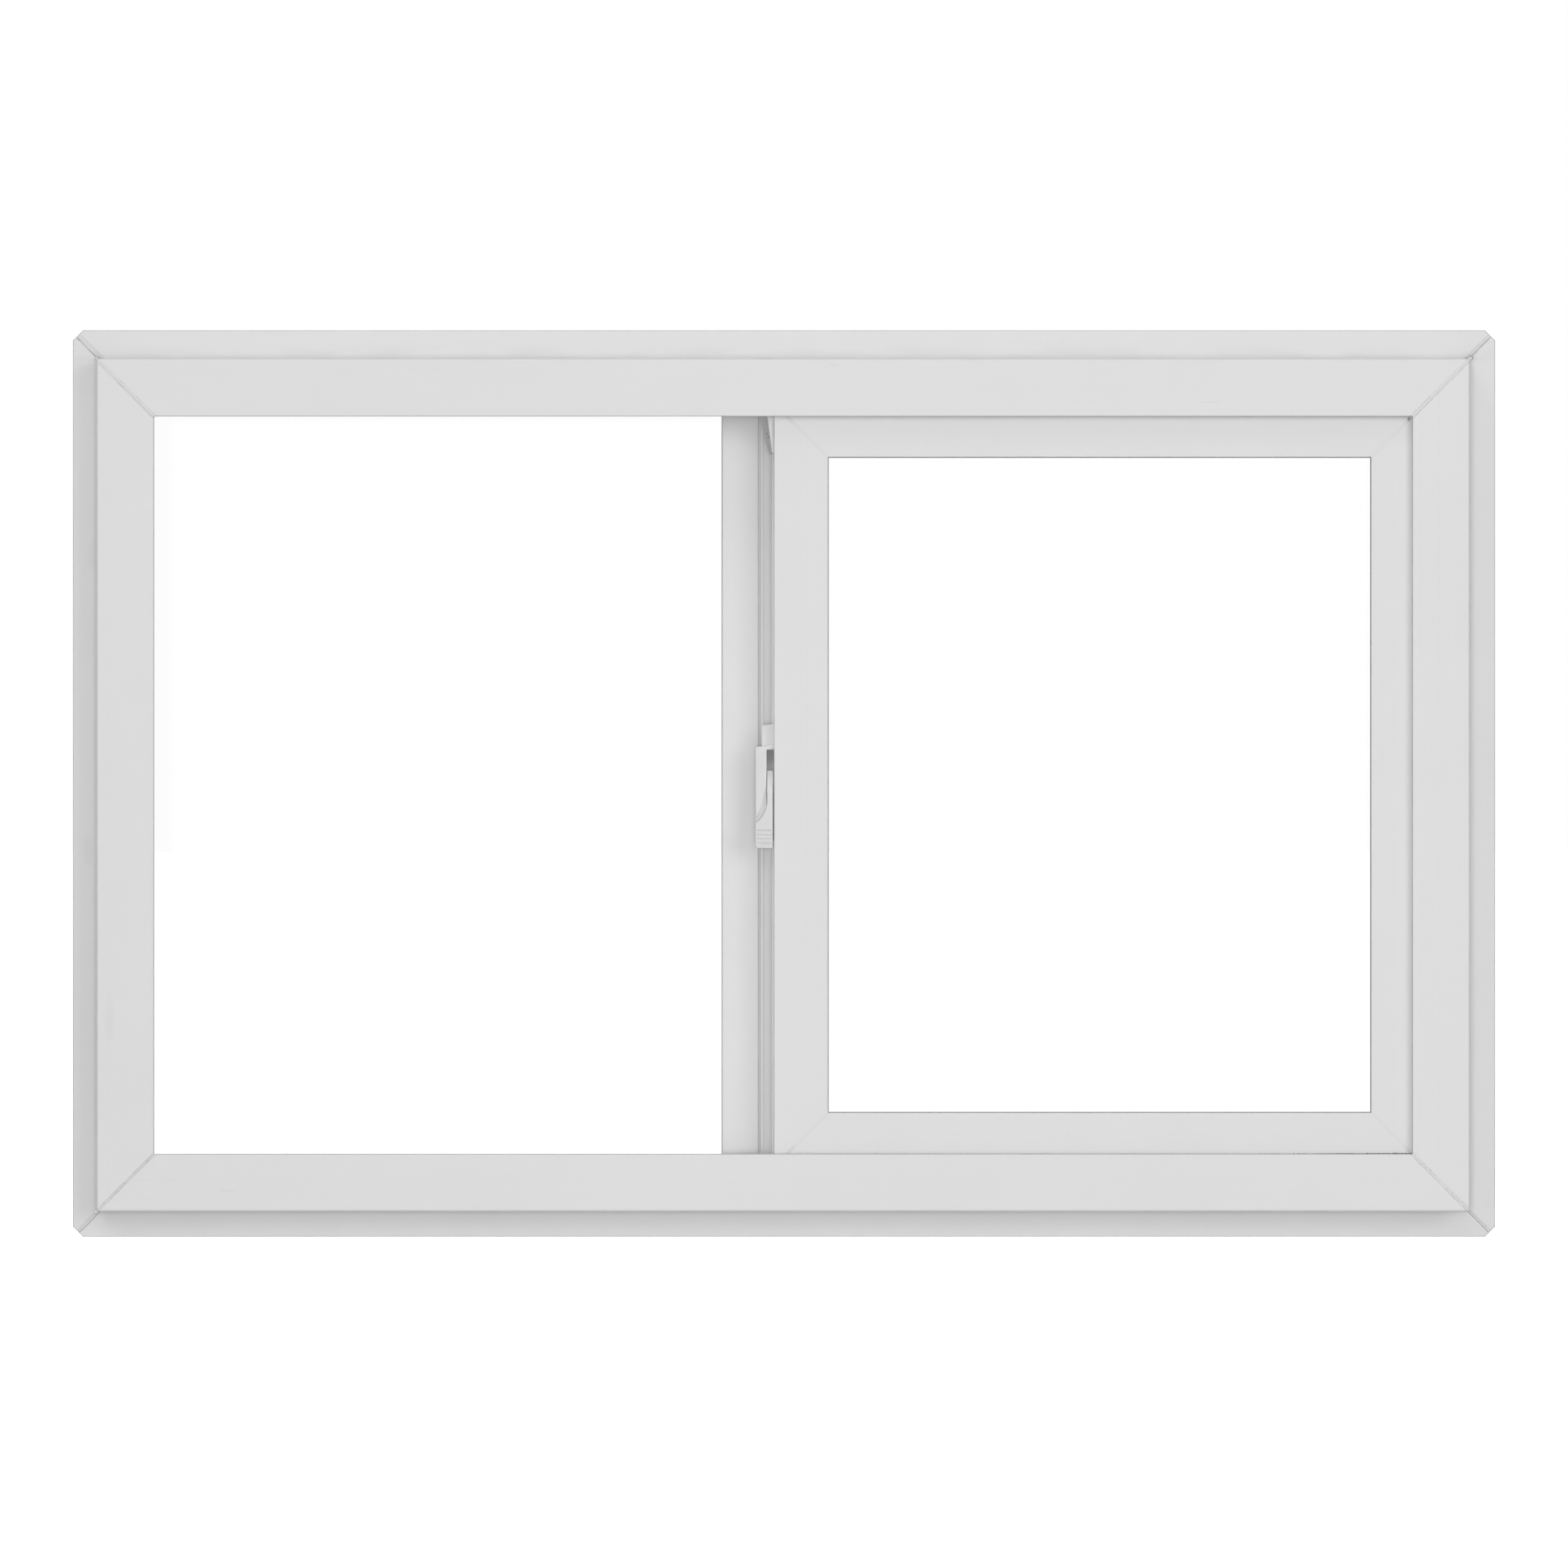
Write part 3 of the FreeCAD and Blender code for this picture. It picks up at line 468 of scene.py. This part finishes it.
# Each corner: its side across and up, half its weld's width on the face and on the flange, its pitting
FRAME_WELDS = {"top_left": (-1, 1, 0.0016, 0.0024, 0.15), "top_right": (1, 1, 0.0016, 0.0017, 0.10),
               "bottom_left": (-1, -1, 0.0011, 0.0017, 0.42), "bottom_right": (1, -1, 0.0016, 0.0015, 0.45)}
CORNER_FLASH = {"top_left": 0.0015, "top_right": 0.0023, "bottom_left": 0.0017}
room_span = (WELD_START, FACE_WIDTH - EDGE_LINE)
outside_span = (WELD_START, OUTSIDE_FACE_WIDTH - EDGE_LINE)
flange_span = (0.0, FLANGE_CLIP / 2 - FLANGE_WIDTH + EDGE_LINE)

KNIFE_SEED = 11
knife = random.Random(KNIFE_SEED)
for name, (right, up, face_half, flange_half, pitting) in FRAME_WELDS.items():
    corner = (frame_high[0] if right > 0 else frame_low[0], frame_high[1] if up > 0 else frame_low[1])
    mitre = (corner, (-right, -up))
    weld = bmesh.new()
    weld_band(weld, knife, mitre, room_span, room_face, -1, face_half, FACE_CROWN)
    weld_band(weld, knife, mitre, outside_span, outside_face, 1, face_half, FACE_CROWN)
    weld_band(weld, knife, mitre, flange_span, flange_face, -1, flange_half, FLANGE_CROWN, True)
    if name in CORNER_FLASH:
        corner_flash(weld, knife, mitre, CORNER_FLASH[name])
    torn = welded_vinyl("weld_vinyl_" + name, up, face_half, flange_half, pitting)
    smooth_piece("frame_weld_" + name, weld, torn, "frame")


# Fixed meeting stile: a vinyl extrusion let into the head and sill, its interlock channel on the right.
# The groove beside the channel is darkened with painted shade.
STILE_FLAT = 0.0320
STILE_GROOVE = 0.0021
GROOVE_SHADE = 0.16
groove_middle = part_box("fixed_meeting_stile")[0][0] + STILE_FLAT + STILE_GROOVE / 2


def stile_groove_shade(place):
    # Painted shade: a darker line down the groove
    return line(place.axis("X"), groove_middle, STILE_GROOVE) * GROOVE_SHADE


finish(vinyl("stile_vinyl", "Z", stile_groove_shade), "fixed_meeting_stile")


# Fixed light: two panes of clear glass on an aluminium spacer, bedded on a butyl seal, dropped in from
# outdoors and held by mitred vinyl beads.
GLASS_IOR = 1.5
GLASS_TINT = (0.997, 0.9995, 0.998, 1.0)
GLASS_MIRROR = grey(0.2)
GLASS_FILM_SCALE = 30.0
GLASS_FILM_RANGE = (0.55, 0.9)
GLASS_FILM = 0.012


def clear_glass(name):
    material, surface, place = new_finish(name)
    surface.inputs["Transmission Weight"].default_value = 1.0
    surface.inputs["IOR"].default_value = GLASS_IOR
    surface.inputs["Specular Tint"].default_value = GLASS_MIRROR
    surface.inputs["Base Color"].default_value = GLASS_TINT
    film = noise(place, GLASS_FILM_SCALE, detail=3.0).between(*GLASS_FILM_RANGE)
    feed(surface, "Roughness", film * GLASS_FILM)
    return material


glass = clear_glass("clear_glass")
finish(glass, "fixed_inside_pane", "fixed_outside_pane")

BUTYL_DARK = grey(0.26)
BUTYL_LIGHT = grey(0.38)
BUTYL_SCALE = 900.0
BUTYL_ROUGHNESS = 0.6
BUTYL_GRAIN_ROUGHNESS = 0.25
BUTYL_RELIEF = (0.4, 0.0001)


def butyl(name):
    material, surface, place = new_finish(name)
    grain = noise(place, BUTYL_SCALE, detail=3.0)
    feed(surface, "Base Color", grain.mix(BUTYL_DARK, BUTYL_LIGHT))
    feed(surface, "Roughness", BUTYL_ROUGHNESS + grain * BUTYL_GRAIN_ROUGHNESS)
    feed(surface, "Normal", grain.relief(*BUTYL_RELIEF))
    return material


seal_rubber = butyl("glazing_seal")
finish(seal_rubber, "fixed_glazing_seal")

ALUMINIUM_DARK = grey(0.55)
ALUMINIUM_LIGHT = grey(0.70)
ALUMINIUM_SCALE = 500.0
ALUMINIUM_STRETCH = (1.0, 0.02, 1.0)
ALUMINIUM_ROUGHNESS = 0.3
STREAK_ROUGHNESS = 0.2


def mill_aluminium(name):
    material, surface, place = new_finish(name)
    surface.inputs["Metallic"].default_value = 1.0
    streaks = noise(place, ALUMINIUM_SCALE, stretch=ALUMINIUM_STRETCH)
    feed(surface, "Base Color", streaks.mix(ALUMINIUM_DARK, ALUMINIUM_LIGHT))
    feed(surface, "Roughness", ALUMINIUM_ROUGHNESS + streaks * STREAK_ROUGHNESS)
    return material


spacer_metal = mill_aluminium("spacer_aluminium")
finish(spacer_metal, "fixed_spacer")

vinyl_level = vinyl("plain_vinyl_level", "X")
vinyl_upright = vinyl("plain_vinyl_upright", "Z")
finish(vinyl_level, "fixed_bead_head", "fixed_bead_sill")
finish(vinyl_upright, "fixed_bead_jamb", "fixed_bead_stile")


# Sash: four lengths of vinyl extrusion, mitred and welded, round its own double glazing. The shallow
# clean-up grooves along the mitres hold dirt on both sides, most of it at the outer corners. A spot of
# painted shadow darkens the gap at its upper right corner, where it runs behind the frame's lips.
SASH_SEAM_HALF = 0.0008
SASH_SEAM_LINE = 0.0003
SASH_SEAM_DIRT = 0.16
SASH_CORNER_DIRT = 0.45
SASH_CORNER_FROM = 0.0135
SASH_CORNER_TO = 0.0200
SASH_DIE_MARKS = ((0.0376, 0.02), (0.0290, 0.03))
sash_box_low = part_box("sash_bottom_rail")[0]
sash_box_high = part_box("sash_top_rail")[1]
sash_low = (sash_box_low[0], sash_box_low[2])
sash_high = (sash_box_high[0], sash_box_high[2])

# A painted shadow in the gap at the upper right corner: place across and up, reach across and up
SASH_CORNER_SHADOW = (0.5500, 0.7100, 0.0016, 0.0024)
CORNER_SHADOW_DARKNESS = 0.6


def sash_dirt_and_shade(place):
    upright, level = inside_edges(place, sash_low, sash_high)
    inward = upright.least(level)
    seam = (upright - level) * math.sqrt(0.5)
    at_corner = 1 - inward.between(SASH_CORNER_FROM, SASH_CORNER_TO)
    mitre_sides = line(abs(seam), SASH_SEAM_HALF, SASH_SEAM_LINE)
    darkening = mitre_sides * (SASH_SEAM_DIRT + at_corner * SASH_CORNER_DIRT)
    for inside, darkness in SASH_DIE_MARKS:
        darkening = darkening + line(inward, inside, DIE_MARK) * darkness
    # Painted shadow: a dark spot in the gap at the upper right corner
    return (darkening + spot(place, *SASH_CORNER_SHADOW) * CORNER_SHADOW_DARKNESS).clamped()


finish(vinyl("sash_vinyl_level", "X", sash_dirt_and_shade), "sash_top_rail", "sash_bottom_rail")
finish(vinyl("sash_vinyl_upright", "Z", sash_dirt_and_shade), "sash_meeting_stile", "sash_end_stile")
finish(vinyl_upright, "sash_interlock", "sash_bead_meeting", "sash_bead_end")
finish(vinyl_level, "sash_bead_top", "sash_bead_bottom")
finish(glass, "sash_inside_pane", "sash_outside_pane")
finish(spacer_metal, "sash_spacer")
finish(seal_rubber, "sash_glazing_seal")


# Pile strips: woven pile on a plastic backing, slid into the back of the sash, and a nearly black pile low
# on the front of its bottom rail that shows just over the lip of the sill, uneven and fullest at the right.
# It is put there as painted shade for the gap between the rail and the lip.
PILE_SCALE = 1800.0
PILE_ROUGHNESS = 0.95
PILE_RELIEF = (0.8, 0.0004)
BACK_PILE_GREYS = (0.28, 0.50)
# The nearly black front pile stands in as painted shade for the gap over the sill's lip
GAP_SHADE_PILE_GREYS = (0.015, 0.05)


def woven_pile(name, dark, light):
    material, surface, place = new_finish(name)
    weave = noise(place, PILE_SCALE)
    feed(surface, "Base Color", weave.mix(grey(dark), grey(light)))
    surface.inputs["Roughness"].default_value = PILE_ROUGHNESS
    feed(surface, "Normal", weave.relief(*PILE_RELIEF))
    return material


finish(woven_pile("pile_grey", *BACK_PILE_GREYS), "sash_pile_top", "sash_pile_bottom", "sash_pile_end")

TUFT_PITCH = 0.0006
TUFT_WIDTH = 0.0009
TUFT_DEPTH = 0.0010
TUFT_LEAN = 0.0003
PILE_INSET = 0.012
PILE_PAST_LIP = 0.004
PILE_DROP = 0.0050
PILE_THICKENS_FROM = 0.400
PILE_RISE_THIN = -0.0006
PILE_RISE_FULL = 0.0002
PILE_UNEVEN = 0.0003

# A tuft's shape: share of its height, share of its full thickness there
TUFT_TAPER = ((0.0, 1.0), (0.6, 0.95), (1.0, 0.45))
pile_left = sash_low[0] + PILE_INSET
pile_right = frame_high[0] - FACE_WIDTH + PILE_PAST_LIP
sash_face = sash_box_low[1]
lip_height = frame_low[1] + FACE_WIDTH
WEAVER_SEED = 5
weaver = random.Random(WEAVER_SEED)
tufts = bmesh.new()
for index in range(int((pile_right - pile_left) / TUFT_PITCH)):
    x = pile_left + index * TUFT_PITCH
    fullness = max(0.0, x - PILE_THICKENS_FROM) / (pile_right - PILE_THICKENS_FROM)
    rise = PILE_RISE_THIN + (PILE_RISE_FULL - PILE_RISE_THIN) * fullness
    rise = rise + weaver.uniform(-PILE_UNEVEN, PILE_UNEVEN)
    lean = weaver.uniform(-TUFT_LEAN, TUFT_LEAN)
    rings = []
    for share, spread in TUFT_TAPER:
        height = lip_height - PILE_DROP + (PILE_DROP + rise) * share
        left = x + lean * share - TUFT_WIDTH / 2 * spread
        right = x + lean * share + TUFT_WIDTH / 2 * spread
        front = sash_face - TUFT_DEPTH * spread
        rings.append([Vector((left, front, height)), Vector((right, front, height)),
                      Vector((right, sash_face, height)), Vector((left, sash_face, height))])
    loft(tufts, rings)
# Painted shade: nearly black tufts along the gap between the bottom rail and the sill's lip
gap_shade_pile = woven_pile("pile_gap_shade", *GAP_SHADE_PILE_GREYS)
smooth_piece("sash_gap_shade_pile", tufts, gap_shade_pile, "sash")


# Rollers: grooved nylon wheels on the sill's rail, each in a moulded nylon housing that is pressed into the
# bottom rail from below.
NYLON_LIGHT = 0.58
NYLON_DARK = 0.50
MOULDING_CLOUD_SCALE = 60.0
MOULDING_GRAIN_SCALE = 3000.0
MOULDING_ROUGHNESS = 0.36
MOULDING_CLOUD_ROUGHNESS = 0.12
MOULDING_RELIEF = (0.2, 0.00006)


def moulded(name, light, dark, darkening=None):
    """Moulded plastic, a little uneven in colour, and the darkening, dirt and painted shade, that a
    function of the place gives.
    """
    material, surface, place = new_finish(name)
    cloud = noise(place, MOULDING_CLOUD_SCALE, detail=3.0)
    colour = cloud.mix(grey(light), grey(dark))
    if darkening:
        colour = darkening(place).mix(colour, VINYL_DIRT_AND_SHADE)
    feed(surface, "Base Color", colour)
    feed(surface, "Roughness", MOULDING_ROUGHNESS + cloud * MOULDING_CLOUD_ROUGHNESS)
    feed(surface, "Normal", noise(place, MOULDING_GRAIN_SCALE).relief(*MOULDING_RELIEF))
    return material


nylon = moulded("roller_nylon", NYLON_LIGHT, NYLON_DARK)
finish(nylon, "roller_housing_left", "roller_housing_right", "roller_wheel_left", "roller_wheel_right")


# Latch: a moulded white housing on the meeting edge of the sash with a thumb lever that slides up in it,
# its keeper in the channel of the fixed stile, and the wedge block at the top of the same edge.
LATCH_LIGHT = 0.71
LATCH_DARK = 0.675
latch_low, latch_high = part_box("latch_housing")
mid_height = (cad_low[2] + cad_high[2]) / 2

# The lever's slot: its width, its top above mid height, and where its painted shade starts, thickens and is
# full
SLOT_WIDTH = 0.0067
SLOT_TOP = 0.0300
SLOT_EDGE = 0.0003
SLOT_SHADE_FROM = 0.0015
SLOT_SHADE_TO = 0.0060
SLOT_THICK_FROM = 0.0170
SLOT_THICK_TO = 0.0060
SLOT_TOP_EDGE = 0.0004
GREASE_SCALE = 900.0
GREASE_STRETCH = (1.0, 1.0, 0.03)
GREASE_RANGE = (0.3, 0.7)
# How dark the painted shade in the slot is, how much more towards the top, and how dark the grease streaks
# are
SLOT_DEPTH_SHADE = 0.28
SLOT_TOP_SHADE = 0.30
GREASE_DIRT = 0.27


def slot_grease_and_shade(place):
    """Painted shade in the lever's slot, darker deep down and towards the top, with streaks of old grease
    up and down.
    """
    top = mid_height + SLOT_TOP
    slot_left = latch_high[0] - SLOT_WIDTH
    in_slot = place.axis("X").between(slot_left - SLOT_EDGE, slot_left)
    deep = (place.axis("Y") - latch_low[1]).between(SLOT_SHADE_FROM, SLOT_SHADE_TO)
    below_tab = 1 - place.axis("Z").between(top, top + SLOT_TOP_EDGE)
    thick = place.axis("Z").between(top - SLOT_THICK_FROM, top - SLOT_THICK_TO)
    streaks = noise(place, GREASE_SCALE, stretch=GREASE_STRETCH).between(*GREASE_RANGE)
    # Painted shade: the slot darkens with depth and towards its top
    return in_slot * deep * below_tab * (SLOT_DEPTH_SHADE + thick * SLOT_TOP_SHADE + streaks * GREASE_DIRT)


RUB_SCALE = 1100.0
RUB_STRETCH = (1.0, 1.0, 0.04)
RUB_RANGE = (0.40, 0.75)
RUB_DIRT = 0.10

# Nicks in the wedge block: place across and up, reach across and up, darkness
WEDGE_NICKS = ((-0.0146, 0.6974, 0.0011, 0.0015, 0.60), (-0.0132, 0.6945, 0.0013, 0.0010, 0.65))


def wedge_grime(place):
    """Rub marks up and down the block's slope, and two nicks in it."""
    darkening = noise(place, RUB_SCALE, detail=3.0, stretch=RUB_STRETCH).between(*RUB_RANGE) * RUB_DIRT
    for x, z, wide, tall, darkness in WEDGE_NICKS:
        darkening = darkening + spot(place, x, z, wide, tall) * darkness
    return darkening


finish(moulded("latch_plastic", LATCH_LIGHT, LATCH_DARK), "latch_lever", "latch_keeper")
finish(moulded("latch_housing_plastic", LATCH_LIGHT, LATCH_DARK, slot_grease_and_shade), "latch_housing")
finish(moulded("wedge_plastic", LATCH_LIGHT, LATCH_DARK, wedge_grime), "sash_wedge_block")


# Stage: a floor below the sill that is seen as white and keeps a soft shadow, and an even white surround.
# Soft lamps stand in front, most of their light level or from the right, and one stands outdoors.
FLOOR_SIZE = 40.0
FLOOR_DROP = 0.5
FLOOR_GREY = grey(0.35)
FLOOR_ROUGHNESS = 0.9
GLOW_NEAR = 0.70
GLOW_FAR = 0.92
GLOW_NEAR_EDGE = 2.0
GLOW_FAR_EDGE = 5.5
SURROUND_LIGHT = 0.11


def seen_white(start):
    """1 for what the camera sees straight, mirrored or through glass, 0 for light that falls on things."""
    straight = start.add("ShaderNodeLightPath", output="Is Camera Ray")
    mirrored = start.add("ShaderNodeLightPath", output="Is Glossy Ray")
    through = start.add("ShaderNodeLightPath", output="Is Transmission Ray")
    return (straight + mirrored + through).clamped()


bpy.ops.mesh.primitive_plane_add(size=FLOOR_SIZE, location=(0.0, 0.0, cad_low[2] - FLOOR_DROP))
floor = bpy.context.object
floor.name = "floor"
floor_paint, floor_surface, floor_place = new_finish("floor_paint")
floor_surface.inputs["Base Color"].default_value = FLOOR_GREY
floor_surface.inputs["Roughness"].default_value = FLOOR_ROUGHNESS
floor_surface.inputs["Emission Strength"].default_value = 1.0
far_off = floor_place.length().between(GLOW_NEAR_EDGE, GLOW_FAR_EDGE)
glow = GLOW_NEAR + far_off * (GLOW_FAR - GLOW_NEAR)
feed(floor_surface, "Emission Color", (seen_white(floor_place) * glow).mix(grey(0.0), grey(1.0)))
floor.data.materials.append(floor_paint)

world = bpy.data.worlds.new("surround")
bpy.context.scene.world = world
world.use_nodes = True
surround = Shade(world.node_tree, None)
surround_colour = seen_white(surround).mix(grey(SURROUND_LIGHT), grey(1.0))
feed(world.node_tree.nodes["Background"], "Color", surround_colour)

# Each lamp: its place, the side of its square, its power
LAMPS = {"lamp_high_left": ((-4.60, -2.69, 8.87), 4.0, 254.0),
         "lamp_high": ((0.0, -8.53, 5.69), 4.0, 77.0),
         "lamp_left": ((-4.90, -8.51, 2.47), 4.0, 28.0),
         "lamp_level": ((0.0, -5.04, 0.40), 0.9, 77.0),
         "lamp_low": ((0.0, -1.75, -0.25), 1.2, 2.4),
         "lamp_front": ((0.0, -9.83, 2.47), 4.0, 81.0),
         "lamp_right": ((4.90, -8.51, 2.47), 4.0, 229.0),
         "lamp_outdoors": ((0.8, 4.6, 2.0), 2.6, 190.0)}
centre = Vector((0.0, room_face, mid_height))
for name, (place, size, watts) in LAMPS.items():
    data = bpy.data.lights.new(name, "AREA")
    data.shape = "SQUARE"
    data.size = size
    data.energy = watts
    lamp = bpy.data.objects.new(name, data)
    bpy.context.scene.collection.objects.link(lamp)
    lamp.location = place
    lamp.rotation_euler = (centre - Vector(place)).to_track_quat("-Z", "Y").to_euler()
    lamp.visible_camera = False
    lamp.visible_glossy = False
    lamp.visible_transmission = False


# Camera: straight on from the room side, a little right of the window's middle and above it.
# Its shift brings the window back to the middle of the picture.
PIXEL = 0.0007125
FRAME_PIXELS = 1932
VIEW_DISTANCE = 5.0
VIEW_RIGHT = 0.076
VIEW_ABOVE = 0.152
PICTURE_RIGHT = 0.0007
PICTURE_ABOVE = 0.0011
SENSOR = 36.0
FAR_CLIP = 100.0
view_width = FRAME_PIXELS * PIXEL
camera_data = bpy.data.cameras.new("camera")
camera_data.sensor_width = SENSOR
camera_data.lens = SENSOR * VIEW_DISTANCE / view_width
camera_data.shift_x = (PICTURE_RIGHT - VIEW_RIGHT) / view_width
camera_data.shift_y = (PICTURE_ABOVE - VIEW_ABOVE) / view_width
camera_data.clip_end = FAR_CLIP
camera = bpy.data.objects.new("camera", camera_data)
bpy.context.scene.collection.objects.link(camera)
bpy.context.scene.camera = camera
camera.location = (VIEW_RIGHT, room_face - VIEW_DISTANCE, mid_height + VIEW_ABOVE)
camera.rotation_euler = (math.radians(90.0), 0.0, 0.0)

bpy.context.scene.view_settings.view_transform = "Standard"
